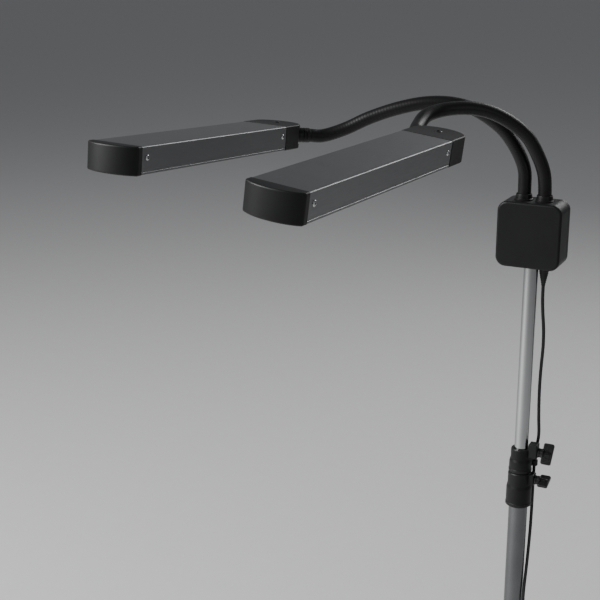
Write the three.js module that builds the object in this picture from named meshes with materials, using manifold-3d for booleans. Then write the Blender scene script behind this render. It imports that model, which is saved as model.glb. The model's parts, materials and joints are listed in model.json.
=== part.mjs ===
// Twin-head LED inspection light on a telescopic light stand. Millimetres, +Z up.
// The stand's pole is built at x = 0, y = 0, and the whole group is then moved so that the
// origin is under the middle of the light, on the floor. The heads point along -Y.
import * as THREE from "three";
import { mergeVertices } from "three/addons/utils/BufferGeometryUtils.js";
import Module from "manifold-3d";

const wasm = await Module();
wasm.setup();

const GAP = 0.3; // clearance between touching parts
const rad = THREE.MathUtils.degToRad;

// ---- driving dimensions -------------------------------------------------------------------
const TOP_TUBE = { outer: 9.5, inner: 8.3, from: 460, to: 1072 };
const MID_TUBE = { outer: 11.25, inner: 9.9, from: 150, to: 748 };
const BASE_TUBE = { outer: 13, inner: 11.65, from: 45, to: 708 };
const TUBE_SIDES = 20;

const MID_CLAMP = {
  from: 735, step: 754, to: 769.5, wide: 15.4, slim: 13.8, knobZ: 766, lug: 24, lugTop: 778.5,
};
const BASE_CLAMP = {
  from: 685, step: 715, to: 734, wide: 17.6, slim: 16.2, knobZ: 725, lug: 21.5, lugTop: 733.5,
};
const KNOB = { hub: 6.5, hubLong: 8, from: 5.5, reach: 20, thick: 5, corner: 2.5 };

// legs: the strut is as long as the leg's stretch above its pin, so the leg's top stays level
// with the hub pivot's radius while it folds
const PIVOT_R = 30; // radius of the hub and leg collar pivots
const HUB_Z = 53;
const STRUT = 200;
const LEG = 480;
const SPREAD = rad(58); // leg and strut, from the vertical
const COLLAR_Z = HUB_Z + 2 * STRUT * Math.cos(SPREAD);
const LEG_WIDE = 10;
const LEG_DEEP = 12;
const LEG_AZIMUTHS = [234, 354, 114];
const LEG_KNOB_AZIMUTH = 294;

const BOX = {
  x: -0.6, y: 0, wide: 85.5, deep: 46, high: 87, floor: 1030, wall: 2.5, corner: 13, split: 13,
};
const SWITCH = { wide: 14, long: 18.4, z: 1074, hingeY: 19.5, tilt: 6 };
const RELIEF = { x: 16.4, y: 4, top: 6.4, tip: 2.5, from: 1002 };

const NECK_R = 8.75;
const NECK_SIDES = 12;
const CUP = 0.8; // clearance round a neck joint's ball
// centre lines of the two necks, from the box's top to the knuckle at the head
const NECKS = {
  left: {
    points: [
      [-14.8, 0, 1111], [-14.6, 0, 1134], [-16, -0.5, 1156], [-25, -3, 1179], [-43, -7.5, 1205],
      [-62, -12.7, 1221], [-84, -20, 1233.6], [-110, -28.5, 1239.5], [-140, -36.5, 1239],
      [-174, -44.5, 1231.5], [-212, -54, 1217.5], [-244, -64.5, 1201.5],
    ],
    joints: [0.16, 0.47, 0.87],
  },
  right: {
    points: [
      [12.8, 0, 1111], [12.6, -1, 1134], [11, -4, 1154], [4.5, -10, 1175.5], [-8, -21.6, 1202],
      [-27.5, -39.5, 1223], [-47.5, -57.5, 1236], [-66, -74, 1241.6], [-84, -90.5, 1242.3],
      [-98, -107, 1240.2], [-106.5, -127.5, 1236], [-106, -151, 1228.5],
    ],
    joints: [0.18, 0.56, 0.82],
  },
};

const HEAD = { wide: 62.5, high: 30, long: 330, wall: 1.6, lip: 1.65 };
const CAP = { proud: 0.5, spigot: 24, front: 8, bulge: 10, rear: 32, round: 26 };
const DRUM = { r: 23.2, high: 19.8, stub: 9.6, reach: 46 };
const SCREW = { inset: 10, z: -12, head: 3.2, shank: 1.6, long: 9, proud: 1.3 };
// where each head's top starts, its turn about Z, tilt about X and roll about Y, and its stub
const HEADS = {
  left: { at: [-313.7, -484, 1241.3], turn: 0, tilt: -4.4, roll: 2.5, stub: 45 },
  right: { at: [-71.5, -583, 1237.3], turn: -2.6, tilt: -0.5, roll: 7, stub: -45 },
};

const CORD_R = 2.25;
const CORD_SIDES = 8;
const CLIP = { x: 16, y: 13, z: 745, high: 8, outer: 4.8, inner: 2.7 };
const CORD_UPPER = [
  [16.4, 4, 1001.7], [16.6, 4.3, 985], [17.8, 5, 965], [20, 6, 940], [20.3, 7, 915],
  [18.9, 8, 885], [18.2, 9.5, 850], [19, 11, 815], [20.1, 12.3, 787], [17.5, 13, 764],
  [16, 13, 745.2],
];
const CORD_LOWER = [
  [16, 13, 744.8], [16, 13, 716], [16.1, 12.8, 695], [16.3, 12.2, 676], [16.8, 9, 645],
  [16.7, 4.8, 610], [16.3, 1.8, 585], [15.9, -1.5, 562], [15.8, -3.4, 541], [16.4, 0, 518],
  [17, 8, 497], [16.2, 15.5, 479], [15.4, 20, 458], [15.2, 21.2, 425], [15.4, 21.2, 375],
  [15.6, 21, 320], [15.3, 21, 262], [15.5, 21.6, 208], [16.5, 23, 152], [19, 27, 98],
  [25, 35.5, 56], [36, 50, 26], [50, 68, 9], [65, 86, 2.8], [82, 103, 2.7], [96, 121, 2.7],
];
const COIL = { x: 81, y: 155.7, inner: 16.8, outer: 35.4, top: 13.8, chamfer: 4 };
const PLUG = { x: 114.15, y: 207.2, wide: 35, deep: 36, thick: 13.6, pin: 2, pinLong: 19, pinGap: 19,
  bush: { r: 4, tip: 2.6, long: 14.5 } };

// ---- materials ----------------------------------------------------------------------------
const finish = (color, roughness, metalness) =>
  new THREE.MeshStandardMaterial({ color, roughness, metalness });
const anodised = finish(0x8c9090, 0.42, 0.9);
const polished = finish(0xd0d2d3, 0.18, 1);
const satinTube = finish(0x6f7274, 0.4, 0.9);
const blackPlastic = finish(0x131415, 0.5, 0);
const glossPlastic = finish(0x0e0f10, 0.25, 0);
const neckSleeve = finish(0x0c0c0d, 0.62, 0);
const rubber = finish(0x17181a, 0.85, 0);
const opal = finish(0xf2f4f2, 0.45, 0);
const board = finish(0xe6e8e4, 0.5, 0);
const steel = finish(0xc3c6c8, 0.25, 1);
const driverCase = finish(0x2a2c2e, 0.6, 0);

// ---- solids -------------------------------------------------------------------------------
function solid(geometry) {
  const bare = geometry.clone();
  bare.deleteAttribute("normal");
  bare.deleteAttribute("uv");
  const merged = mergeVertices(bare, 1e-4);
  return new wasm.Manifold(
    new wasm.Mesh({
      numProp: 3,
      vertProperties: new Float32Array(merged.attributes.position.array),
      triVerts: new Uint32Array(merged.index.array),
    }),
  );
}

function geometryOf(manifold) {
  const { vertProperties, triVerts } = manifold.getMesh();
  const geometry = new THREE.BufferGeometry();
  geometry.setAttribute("position", new THREE.BufferAttribute(vertProperties, 3));
  geometry.setIndex(new THREE.BufferAttribute(triVerts, 1));
  geometry.computeVertexNormals();
  return geometry;
}

const join = (first, ...more) =>
  geometryOf(more.reduce((whole, g) => whole.add(solid(g)), solid(first)));
const cut = (first, ...holes) =>
  geometryOf(holes.reduce((whole, g) => whole.subtract(solid(g)), solid(first)));

// a box between two corners
function block([x0, y0, z0], [x1, y1, z1]) {
  const geometry = new THREE.BoxGeometry(x1 - x0, y1 - y0, z1 - z0);
  return geometry.translate((x0 + x1) / 2, (y0 + y1) / 2, (z0 + z1) / 2);
}

// a cylinder between two heights, about an upright axis
function post(r, z0, z1, sides = TUBE_SIDES, x = 0, y = 0) {
  const geometry = new THREE.CylinderGeometry(r, r, z1 - z0, sides).rotateX(Math.PI / 2);
  return geometry.translate(x, y, (z0 + z1) / 2);
}

// a cylinder along X
const barX = (r, x0, x1, sides, y = 0, z = 0) =>
  new THREE.CylinderGeometry(r, r, x1 - x0, sides)
    .rotateZ(-Math.PI / 2)
    .translate((x0 + x1) / 2, y, z);

// a solid of revolution about Z; the profile is a closed list of [radius, height]
function turned(profile, sides = TUBE_SIDES) {
  const points = [...profile, profile[0]].map(([r, z]) => new THREE.Vector2(r, z));
  return new THREE.LatheGeometry(points, sides).rotateX(Math.PI / 2);
}

const pipe = ({ outer, inner, from, to }) =>
  turned([[inner, from], [outer, from], [outer, to], [inner, to]]);

// an outline in X and Y, extruded between two heights
function plate(shape, z0, z1, curveSegments = 8) {
  const options = { depth: z1 - z0, bevelEnabled: false, curveSegments };
  return new THREE.ExtrudeGeometry(shape, options).translate(0, 0, z0);
}

function roundedRect(wide, high, corner) {
  const [x, y] = [wide / 2, high / 2];
  const shape = new THREE.Shape();
  shape.moveTo(x, -y + corner);
  shape.absarc(x - corner, y - corner, corner, 0, Math.PI / 2);
  shape.absarc(-x + corner, y - corner, corner, Math.PI / 2, Math.PI);
  shape.absarc(-x + corner, -y + corner, corner, Math.PI, Math.PI * 1.5);
  shape.absarc(x - corner, -y + corner, corner, Math.PI * 1.5, Math.PI * 2);
  return shape;
}

// a flat bar with round ends: along X from 0 to long, wide in Z, thick in Y
function link(long, wide, y0, y1) {
  const shape = new THREE.Shape();
  shape.absarc(0, 0, wide / 2, Math.PI / 2, Math.PI * 1.5);
  shape.absarc(long, 0, wide / 2, -Math.PI / 2, Math.PI / 2);
  return plate(shape, -y1, -y0, 6).rotateX(Math.PI / 2);
}

// a round section extruded along a curve
function tubeAlong(curve, r, sides, steps) {
  const section = new THREE.Shape();
  for (let i = 0; i < sides; i++) {
    const a = (i * 2 * Math.PI) / sides;
    if (i) section.lineTo(r * Math.cos(a), r * Math.sin(a));
    else section.moveTo(r, 0);
  }
  return new THREE.ExtrudeGeometry(section, { extrudePath: curve, steps });
}

// one stretch of a longer curve, between two shares of its length
class Stretch extends THREE.Curve {
  constructor(whole, from, to) {
    super();
    Object.assign(this, { whole, from, to });
  }
  getPoint(t, target = new THREE.Vector3()) {
    return this.whole.getPointAt(this.from + (this.to - this.from) * t, target);
  }
}

const smoothCurve = (points) =>
  new THREE.CatmullRomCurve3(points.map((p) => new THREE.Vector3(...p)), false, "centripetal");

const light = new THREE.Group();
const assembly = new THREE.Group();
light.add(assembly);
const cordMeshes = [];

function place(parent, name, geometry, material) {
  const mesh = new THREE.Mesh(geometry, material);
  mesh.name = name;
  parent.add(mesh);
  return mesh;
}

// ---- telescopic pole ----------------------------------------------------------------------
// a split clamp: a stepped barrel with a slot through its lug
function clamp({ from, step, to, wide, slim, knobZ, lug, lugTop }, below, above, shoulder) {
  const barrel = turned([
    [below, from], [wide, from], [wide, step - 3], [slim + 0.6, step], [slim, to - 2],
    [slim - 1, to], [above, to], [above, shoulder], [below, shoulder],
  ]);
  const ear = block([above + 1.5, -7, knobZ - 8.5], [lug, 7, lugTop]);
  const slot = block([above - 1.5, -1, knobZ - 12], [lug + 1, 1, Math.max(to, lugTop) + 1]);
  return geometryOf(solid(barrel).add(solid(ear)).subtract(solid(slot)));
}

// a wing knob about the X axis, starting at x = 0; the wing stands along Z, span long
function wingKnob(span) {
  const { hub, hubLong, from, reach, thick, corner } = KNOB;
  const wing = plate(roundedRect(reach - from, span, corner), -thick / 2, thick / 2, 4)
    .translate((from + reach) / 2, 0, 0)
    .rotateX(Math.PI / 2);
  return join(barX(hub, 0, hubLong, 16), wing);
}

function addKnob(name, span, radius, azimuth, z, twist) {
  const knob = wingKnob(span).rotateX(rad(twist)).translate(radius, 0, 0);
  place(assembly, name, knob.rotateZ(rad(azimuth)).translate(0, 0, z), glossPlastic);
}

function addPole() {
  place(assembly, "base_tube", pipe(BASE_TUBE), satinTube);
  place(assembly, "mid_tube", pipe(MID_TUBE), satinTube);
  place(assembly, "top_tube", pipe(TOP_TUBE), polished);
  const baseClamp = clamp(
    BASE_CLAMP, BASE_TUBE.outer + GAP, MID_TUBE.outer + 0.4, BASE_TUBE.to + GAP,
  );
  const midClamp = clamp(MID_CLAMP, MID_TUBE.outer + GAP, TOP_TUBE.outer + 0.4, MID_TUBE.to + GAP);
  place(assembly, "base_clamp", baseClamp, blackPlastic);
  place(assembly, "mid_clamp", midClamp, blackPlastic);
  addKnob("base_clamp_knob", 23, BASE_CLAMP.lug + GAP, 0, BASE_CLAMP.knobZ, -74);
  addKnob("mid_clamp_knob", 30, MID_CLAMP.lug + GAP, 0, MID_CLAMP.knobZ, -40);
}

// ---- folding legs -------------------------------------------------------------------------
// moves a piece made in the X-Z plane to one leg's upright plane
const toLeg = (geometry, azimuth) => geometry.rotateZ(rad(azimuth));

// a piece along X, turned to point down (or up) by an angle from the vertical, at a pivot
const swung = (geometry, fromVertical, x, z) =>
  geometry.rotateY(fromVertical - Math.PI / 2).translate(x, 0, z);

function addHub() {
  const r = BASE_TUBE.outer + GAP;
  let hub = solid(turned([[5, 38], [18.5, 38], [20, 40], [20, 68], [r, 68], [r, 44.6], [5, 44.6]]));
  for (const azimuth of LEG_AZIMUTHS) {
    const lug = link(PIVOT_R - 15, 12, -5, 5).translate(15, 0, HUB_Z);
    const inside = post(r + 2, HUB_Z - 8, HUB_Z + 8);
    hub = hub.add(solid(toLeg(lug, azimuth)).subtract(solid(inside)));
    hub = hub.subtract(solid(toLeg(pinHole(PIVOT_R, HUB_Z), azimuth)));
  }
  place(assembly, "leg_hub", geometryOf(hub), blackPlastic);
}

// the hole for a pivot pin, across a leg's plane
const pinHole = (x, z) =>
  new THREE.CylinderGeometry(2.8, 2.8, 30, 12).translate(x, 0, z);

function addLegCollar() {
  const [r, low, high] = [BASE_TUBE.outer + 0.4, COLLAR_Z - 13, COLLAR_Z + 24];
  let collar = solid(turned([[r, low], [19.5, low], [19.5, high - 2], [18, high], [r, high]]));
  const rivet = new THREE.CylinderGeometry(3.4, 3.4, 18.6, 12).translate(PIVOT_R, 0, COLLAR_Z);
  const between = block([0, -5.4, low - 1], [60, 5.4, high + 1]);
  const inside = solid(post(r + 2, low - 1, high + 1));
  for (const azimuth of LEG_AZIMUTHS) {
    const ears = link(PIVOT_R - 14, 14, -8, 8).translate(14, 0, COLLAR_Z);
    const forked = solid(ears).add(solid(rivet)).subtract(solid(between));
    collar = collar.add(solid(toLeg(geometryOf(forked), azimuth)).subtract(inside));
  }
  const ear = block([r + 2, -7, COLLAR_Z + 2], [24, 7, high - 2]);
  collar = collar.add(solid(toLeg(ear, LEG_KNOB_AZIMUTH)));
  place(assembly, "leg_collar", geometryOf(collar), blackPlastic);
  addKnob("leg_collar_knob", 30, 24 + GAP, LEG_KNOB_AZIMUTH, COLLAR_Z + 12, 60);
}

function addLeg(number, azimuth) {
  // the leg: a flat-sided tube, open at the foot, with a hole for the strut's pin
  const half = LEG_WIDE / 2;
  const bar = link(LEG, LEG_DEEP, -half, half);
  const square = block([LEG, -half - 1, -LEG_DEEP], [LEG + LEG_DEEP, half + 1, LEG_DEEP]);
  const hollow = block([STRUT + 12, 1.4 - half, 1.6 - LEG_DEEP / 2],
    [LEG + 1, half - 1.4, LEG_DEEP / 2 - 1.6]);
  const leg = cut(bar, square, hollow, pinHole(STRUT, 0));
  const swing = Math.PI - SPREAD;
  place(assembly, `leg_${number}`, toLeg(swung(leg, swing, PIVOT_R, COLLAR_Z), azimuth), anodised);

  // the foot: a rubber heel with a flat sole, on a sleeve that takes the leg's end
  const heel = COLLAR_Z - LEG * Math.cos(SPREAD);
  const sleeve = block([LEG - 26, -half - 2, -LEG_DEEP / 2 - 2], [LEG, half + 2, LEG_DEEP / 2 + 2]);
  const roller = new THREE.CylinderGeometry(heel + 0.8, heel + 0.8, LEG_WIDE + 6, 24);
  const pocket = block([LEG - 30, -half - GAP, -LEG_DEEP / 2 - GAP],
    [LEG + GAP, half + GAP, LEG_DEEP / 2 + GAP]);
  const sock = solid(sleeve).add(solid(roller.translate(LEG, 0, 0))).subtract(solid(pocket));
  const below = block([0, -LEG, -LEG], [2 * LEG, LEG, 0]);
  const foot = cut(swung(geometryOf(sock), swing, PIVOT_R, COLLAR_Z), below);
  place(assembly, `foot_${number}`, toLeg(foot, azimuth), rubber);

  // the strut: a channel that straddles the hub's lug and the leg, with its two pivot pins
  const [inner, outer] = [half + GAP, half + GAP + 2];
  const cheeks = link(STRUT, 10, -outer, outer);
  const room = block([-10, -inner, -10], [STRUT + 10, inner, 10]);
  const web = block([18, -outer, 3], [STRUT - 22, outer, 5]);
  const pin = (x) => new THREE.CylinderGeometry(2.4, 2.4, 2 * outer, 12).translate(x, 0, 0);
  const channel = solid(cheeks).subtract(solid(room));
  const strut = [web, pin(0), pin(STRUT)].reduce((s, g) => s.add(solid(g)), channel);
  const upright = swung(geometryOf(strut), SPREAD, PIVOT_R, HUB_Z);
  place(assembly, `strut_${number}`, toLeg(upright, azimuth), satinTube);
}

// ---- junction box -------------------------------------------------------------------------
// a rounded square standing in X and Z, between two depths
function boxShape(inset, y0, y1) {
  const { x, wide, high, floor, corner } = BOX;
  const shape = roundedRect(wide - 2 * inset, high - 2 * inset, corner - inset);
  return plate(shape, -y1, -y0, 5).rotateX(Math.PI / 2).translate(x, 0, floor + high / 2);
}

function addBox() {
  const { x, y, deep, high, floor, wall, split } = BOX;
  const [front, back, top] = [y - deep / 2, y + deep / 2, floor + high];
  const necks = Object.values(NECKS).map(({ points: [[nx, ny]] }) =>
    post(11.2, top - 6, top + 2, 20, nx, ny));
  const shell = cut(
    boxShape(0, front, split), boxShape(wall, front + wall, split + 1), ...necks,
    post(TOP_TUBE.outer + 0.5, floor - 2, floor + 6, 20),
    post(RELIEF.top - 1 + GAP, floor - 2, floor + 6, 16, RELIEF.x, RELIEF.y),
  );
  place(assembly, "box_shell", shell, blackPlastic);

  const { wide, long, z, hingeY, tilt } = SWITCH;
  const opening = block([x - wide / 2 - 0.5, back - 6, z - long / 2 - 0.9],
    [x + wide / 2 + 0.5, back + 1, z + long / 2 + 0.9]);
  const cover = cut(boxShape(0, split + GAP, back),
    boxShape(wall, split, back - wall), opening);
  place(assembly, "box_cover", cover, blackPlastic);

  // the rocker: a shallow V at the front of a bar, turned so that one side is pressed in
  const face = new THREE.Shape();
  face.moveTo(-2, -long / 2);
  face.lineTo(3.6, -long / 2);
  face.lineTo(2.4, 0);
  face.lineTo(3.6, long / 2);
  face.lineTo(-2, long / 2);
  const rocker = plate(face, -wide / 2, wide / 2).rotateX(Math.PI / 2).rotateZ(Math.PI / 2);
  place(assembly, "rocker_switch", rocker.rotateX(rad(tilt)).translate(x, hingeY, z), glossPlastic);

  const socket = cut(post(15, floor + wall + GAP, TOP_TUBE.to + 6),
    post(TOP_TUBE.outer + GAP, floor, TOP_TUBE.to + GAP));
  place(assembly, "tube_socket", socket, blackPlastic);
  place(assembly, "led_driver", block([x - 30, -9, top - 36], [x + 30, 9, top - 10]), driverCase);

  const { top: r, tip, from } = RELIEF;
  const relief = turned([[0, from], [tip, from], [r, floor - 8], [r, floor - GAP],
    [r - 1, floor - GAP], [r - 1, floor + wall], [0, floor + wall]], 16);
  place(assembly, "strain_relief", relief.translate(RELIEF.x, RELIEF.y, 0), rubber);
}

// ---- flexible necks -----------------------------------------------------------------------
// Each neck is cut into short rigid links. A link ends in a ball, and the next one has a cup.
function addNeck(side, { points, joints }) {
  const [x, y] = points[0];
  const top = BOX.floor + BOX.high;
  const gland = turned([[NECK_R + 0.35, top - 5], [10.9, top - 5], [10.9, top + GAP],
    [12, top + GAP], [12, top + 1.6], [10.9, top + 2.6], [10.3, top + 8], [NECK_R + 0.8, top + 8],
    [NECK_R + 0.8, top + 1], [NECK_R + 0.35, top + 0.5]]);
  place(assembly, `${side}_neck_gland`, gland.translate(x, y, 0), blackPlastic);

  const curve = smoothCurve([...points, ...stubLead(side)]);
  const ends = [0, ...joints, 1];
  ["lower", "middle", "upper", "tip"].forEach((part, i) => {
    const stretch = new Stretch(curve, ends[i], ends[i + 1]);
    const steps = Math.max(4, Math.round((ends[i + 1] - ends[i]) * 28));
    let piece = solid(tubeAlong(stretch, NECK_R, NECK_SIDES, steps));
    if (i > 0) piece = piece.subtract(solid(ball(NECK_R + CUP, curve.getPointAt(ends[i]))));
    if (i < 3) piece = piece.add(solid(ball(NECK_R, curve.getPointAt(ends[i + 1]))));
    place(assembly, `${side}_neck_${part}`, geometryOf(piece), neckSleeve);
  });
}

const ball = (r, { x, y, z }) => new THREE.SphereGeometry(r, 12, 8).translate(x, y, z);

// a head's own frame: X across it, -Y towards its free end, Z up, 0 at the start of its top
function headFrame({ at, turn, tilt, roll }) {
  const frame = new THREE.Group();
  frame.position.set(...at);
  frame.rotation.set(rad(tilt), rad(roll), rad(turn), "ZXY");
  frame.updateMatrixWorld();
  return frame;
}

// the knuckle's centre and the way its stub points, in a head's own frame
function knuckle({ stub }) {
  const centre = new THREE.Vector3(0, HEAD.long + CAP.rear, -HEAD.high / 2);
  return { centre, out: new THREE.Vector3(Math.sin(rad(stub)), Math.cos(rad(stub)), 0) };
}

// the last points of a neck: straight into the end of its knuckle's stub
function stubLead(side) {
  const { centre, out } = knuckle(HEADS[side]);
  const frame = headFrame(HEADS[side]);
  return [DRUM.reach + 18, DRUM.reach + GAP].map((reach) =>
    frame.localToWorld(centre.clone().addScaledVector(out, reach)).toArray());
}

// ---- lamp heads ---------------------------------------------------------------------------
function addHead(side, spec) {
  const frame = headFrame(spec);
  assembly.add(frame);
  const { wide, high, long, wall, lip } = HEAD;
  const x = wide / 2;
  const add = (part, geometry, material) => place(frame, `${side}_${part}`, geometry, material);

  // the screws' places: [side of the head, distance along it]
  const screws = [[1, SCREW.inset], [-1, SCREW.inset], [1, long - SCREW.inset],
    [-1, long - SCREW.inset]];
  const bore = (along) => barX(SCREW.shank + GAP, -x - 2, x + 2, 10, along, SCREW.z);

  // housing: an extruded channel, open downwards, with two lips that hold the diffuser
  const inner = x - wall;
  const edge = -high / 2;
  const trough = new THREE.Shape();
  [[-inner, high / 2 - wall], [-inner, edge + 1.5], [-inner + lip, edge + 1.5],
    [-inner + lip, edge - 1], [inner - lip, edge - 1], [inner - lip, edge + 1.5],
    [inner, edge + 1.5], [inner, high / 2 - wall],
  ].forEach(([px, py], i) => (i ? trough.lineTo(px, py) : trough.moveTo(px, py)));
  const lengthwise = (shape, y0, y1) =>
    plate(shape, -y1, -y0, 3).rotateX(Math.PI / 2).translate(0, 0, -high / 2);
  const housing = cut(lengthwise(roundedRect(wide, high, 1.4), 0, long),
    lengthwise(trough, -1, long + 1), bore(SCREW.inset), bore(long - SCREW.inset));
  add("housing", housing, anodised);

  add("led_board", block([-26, CAP.spigot + 1, -6], [26, long - CAP.spigot - 1, -4.4]), board);
  const bed = -high + 1.5 + GAP;
  add("diffuser", block([GAP - inner, 0.5, bed], [inner - GAP, long - 0.5, bed + 2.4]), opal);

  // front cap: a bowed end with a spigot that the screws hold
  const [w, top, bottom] = [x + CAP.proud, CAP.proud, -high - CAP.proud];
  const spigot = (y0, y1) =>
    block([GAP - inner, y0, bed + 2.4 + GAP], [inner - GAP, y1, -wall - GAP]);
  const nose = new THREE.Shape();
  nose.moveTo(w, -GAP);
  nose.lineTo(-w, -GAP);
  nose.lineTo(-w, -CAP.front);
  nose.quadraticCurveTo(-w * 0.62, -CAP.front - CAP.bulge, 0, -CAP.front - CAP.bulge);
  nose.quadraticCurveTo(w * 0.62, -CAP.front - CAP.bulge, w, -CAP.front);
  const front = solid(plate(nose, bottom, top, 6)).add(solid(spigot(-1, CAP.spigot)));
  add("front_cap", geometryOf(front.subtract(solid(bore(SCREW.inset)))), blackPlastic);

  // rear cap: a round end with a pocket for the knuckle's drum, open where the stub swings
  const turn = long + CAP.rear;
  const way = Math.sign(spec.stub);
  const tail = new THREE.Shape();
  tail.moveTo(-w, long + GAP);
  tail.lineTo(w, long + GAP);
  tail.lineTo(w, turn);
  tail.absellipse(0, turn, w, CAP.round, 0, Math.PI);
  const [forkLow, forkHigh] = [-high / 2 - DRUM.high / 2 - 0.4, -high / 2 + DRUM.high / 2 + 0.4];
  const rear = solid(plate(tail, bottom, top, 12))
    .add(solid(spigot(long - CAP.spigot, long + 1)))
    .subtract(solid(block([way < 0 ? -w - 1 : -16, turn + 3.5, forkLow],
      [way < 0 ? 16 : w + 1, turn + 60, forkHigh])))
    .subtract(solid(post(DRUM.r + 0.5, forkLow, forkHigh, 32, 0, turn)))
    .subtract(solid(bore(long - SCREW.inset)));
  add("rear_cap", geometryOf(rear), blackPlastic);

  const { centre, out } = knuckle(spec);
  const stub = barX(DRUM.stub, 0, DRUM.reach, 16).rotateZ(Math.atan2(out.y, out.x));
  const drum = join(post(DRUM.r, -DRUM.high / 2, DRUM.high / 2, 32), stub);
  add("knuckle", drum.translate(...centre.toArray()), blackPlastic);

  screws.forEach(([way, along], i) => {
    const { head, shank, long: shankLong, proud } = SCREW;
    const screw = turned([[0, -shankLong], [shank, -shankLong], [shank, 0], [head, 0],
      [head, proud * 0.5], [head * 0.6, proud], [0, proud]], 8);
    const turnedOut = screw.rotateY((way * Math.PI) / 2);
    add(`screw_${i + 1}`, turnedOut.translate(way * (x + GAP / 2), along, SCREW.z), steel);
  });
}

// ---- supply cord --------------------------------------------------------------------------
function addCord() {
  const tube = (points, step) => {
    const curve = smoothCurve(points);
    return tubeAlong(curve, CORD_R, CORD_SIDES, Math.round(curve.getLength() / step));
  };
  const { x, y, z, high, outer, inner } = CLIP;
  const away = Math.hypot(x, y);
  const ring = cut(
    join(post(outer, z - high / 2, z + high / 2, 16, away, 0),
      block([MID_CLAMP.wide + GAP, -2.5, z - high / 2], [away, 2.5, z + high / 2])),
    post(inner, z - high, z + high, 16, away, 0),
  );
  place(assembly, "cord_clip", ring.rotateZ(Math.atan2(y, x)), blackPlastic);

  cordMeshes.push(place(assembly, "cord_upper", tube(CORD_UPPER, 15), rubber));
  cordMeshes.push(place(assembly, "cord_lower", tube(CORD_LOWER, 16), rubber));

  const { inner: r0, outer: r1, top, chamfer: c } = COIL;
  const coil = turned([[r0 + c, 0.1], [r1 - c, 0.1], [r1, 0.1 + c], [r1, top - c], [r1 - c, top],
    [r0 + c, top], [r0, top - c], [r0, 0.1 + c]], 28);
  cordMeshes.push(place(assembly, "cord_coil", coil.translate(COIL.x, COIL.y, 0), rubber));

  // plug: a flat two-pin body lying on the floor, pins towards +Y
  const { wide, deep, thick, pin, pinLong, pinGap, bush } = PLUG;
  const body = plate(roundedRect(wide, deep, 7), 0.1, thick, 4);
  const pins = [-1, 1].map((way) =>
    new THREE.CylinderGeometry(pin, pin, pinLong + 2, 10)
      .translate((way * pinGap) / 2, deep / 2 + pinLong / 2 - 1, thick / 2));
  const sleeve = turned([[0, -1], [bush.r, -1], [bush.r, 0], [bush.tip, bush.long],
    [0, bush.long]], 12);
  const cordEnd = sleeve.rotateX(Math.PI / 2).translate(0, -deep / 2, (thick + 0.1) / 2);
  const plug = join(body, ...pins, cordEnd).translate(PLUG.x, PLUG.y, 0);
  cordMeshes.push(place(assembly, "plug", plug, rubber));
}

addPole();
addHub();
addLegCollar();
LEG_AZIMUTHS.forEach((azimuth, i) => addLeg(i + 1, azimuth));
addBox();
for (const side of ["left", "right"]) {
  addNeck(side, NECKS[side]);
  addHead(side, HEADS[side]);
}
addCord();

// the origin: under the middle of the light itself, without its cord, at floor level
const own = new THREE.Box3();
light.updateMatrixWorld(true);
light.traverse((mesh) => {
  if (mesh.isMesh && !cordMeshes.includes(mesh)) own.expandByObject(mesh, true);
});
const middle = own.getCenter(new THREE.Vector3());
assembly.position.set(-middle.x, -middle.y, -own.min.z);
light.updateMatrixWorld(true);

export default light;
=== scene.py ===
import json
import math

import bpy
import bmesh
from mathutils import Matrix, Vector


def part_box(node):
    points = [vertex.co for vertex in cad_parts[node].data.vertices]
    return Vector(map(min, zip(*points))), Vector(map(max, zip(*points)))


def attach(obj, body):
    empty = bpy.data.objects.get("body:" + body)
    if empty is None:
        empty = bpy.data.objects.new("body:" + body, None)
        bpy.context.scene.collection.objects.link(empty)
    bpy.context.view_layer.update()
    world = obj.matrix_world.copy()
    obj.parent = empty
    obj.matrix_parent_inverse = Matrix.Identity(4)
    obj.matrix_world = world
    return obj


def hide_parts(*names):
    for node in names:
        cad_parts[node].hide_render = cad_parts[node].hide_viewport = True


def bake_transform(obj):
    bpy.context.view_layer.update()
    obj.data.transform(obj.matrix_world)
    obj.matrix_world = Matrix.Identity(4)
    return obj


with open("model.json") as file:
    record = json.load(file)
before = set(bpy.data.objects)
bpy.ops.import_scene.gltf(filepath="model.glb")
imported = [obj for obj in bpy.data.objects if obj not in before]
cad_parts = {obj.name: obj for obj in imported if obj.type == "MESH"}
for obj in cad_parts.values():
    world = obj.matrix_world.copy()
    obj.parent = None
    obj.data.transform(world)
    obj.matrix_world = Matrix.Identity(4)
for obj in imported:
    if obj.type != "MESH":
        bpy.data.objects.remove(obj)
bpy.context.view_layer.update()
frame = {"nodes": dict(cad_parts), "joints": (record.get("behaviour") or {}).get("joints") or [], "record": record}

MM = 0.001
NODES = frame["nodes"]
BODY_OF = {n: b for b, names in frame["record"]["behaviour"]["bodies"].items() for n in names}
JOINTS = {j["name"]: j for j in frame["joints"]}

# the pole's own frame: its axis is x = y = 0 and the floor z = 0, in millimetres
tube_low, tube_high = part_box("base_tube")
POLE = Vector(((tube_low.x + tube_high.x) / 2, (tube_low.y + tube_high.y) / 2, 0))


def at(x, y, z):
    return POLE + Vector((x, y, z)) * MM


def axes(origin, x, z):
    """a frame at origin, with its Z along z and its X as near x as it can be"""
    z = Vector(z).normalized()
    y = z.cross(Vector(x)).normalized()
    turn = Matrix((y.cross(z), y, z)).transposed().to_4x4()
    return Matrix.Translation(origin) @ turn


UPRIGHT = Matrix.Translation(POLE)

# ---- camera -------------------------------------------------------------------------------
EYE = at(433.465, -1559.84, 1461)
LOOKS_DOWN, LOOKS_LEFT = 16.78, 26.4  # degrees
LENS, SENSOR = 74.87, 36

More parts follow.
